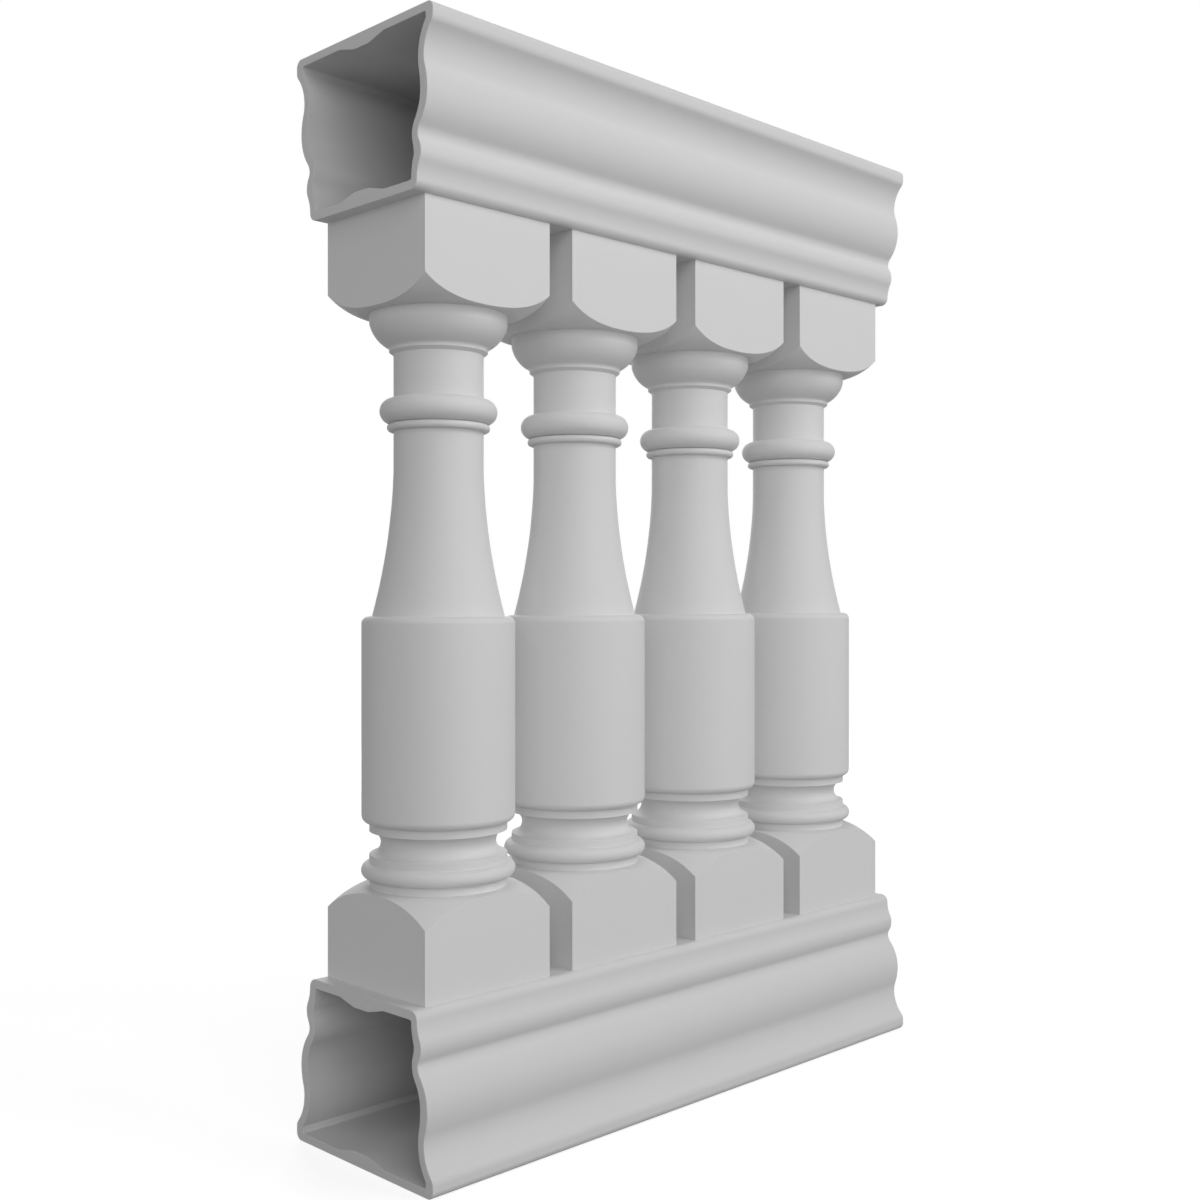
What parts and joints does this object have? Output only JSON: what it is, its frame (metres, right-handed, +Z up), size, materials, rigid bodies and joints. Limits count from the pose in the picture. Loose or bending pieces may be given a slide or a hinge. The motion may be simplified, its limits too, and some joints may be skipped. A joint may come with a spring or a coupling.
{
  "type": "balustrade section",
  "caption": "Level moulded balustrade section: turned balusters with square domed blocks between two hollow ogee-moulded rails, as a guard along a balcony, landing or terrace.",
  "frame": {"origin": "centre of the bottom rail's flat underside", "axes": "+X along the rails, -Y out of the front, +Z up"},
  "size_m": [0.6096, 0.1778, 0.8786],
  "materials": {
    "rail_primer": "matt light grey primer on moulded foam",
    "baluster_primer": "matt light grey primer on moulded foam"
  },
  "bodies": {
    "root": {"bottom_rail": "rail_primer", "top_rail": "rail_primer", "baluster_1": "baluster_primer", "baluster_2": "baluster_primer", "baluster_3": "baluster_primer", "baluster_4": "baluster_primer"}
  },
  "joints": []
}
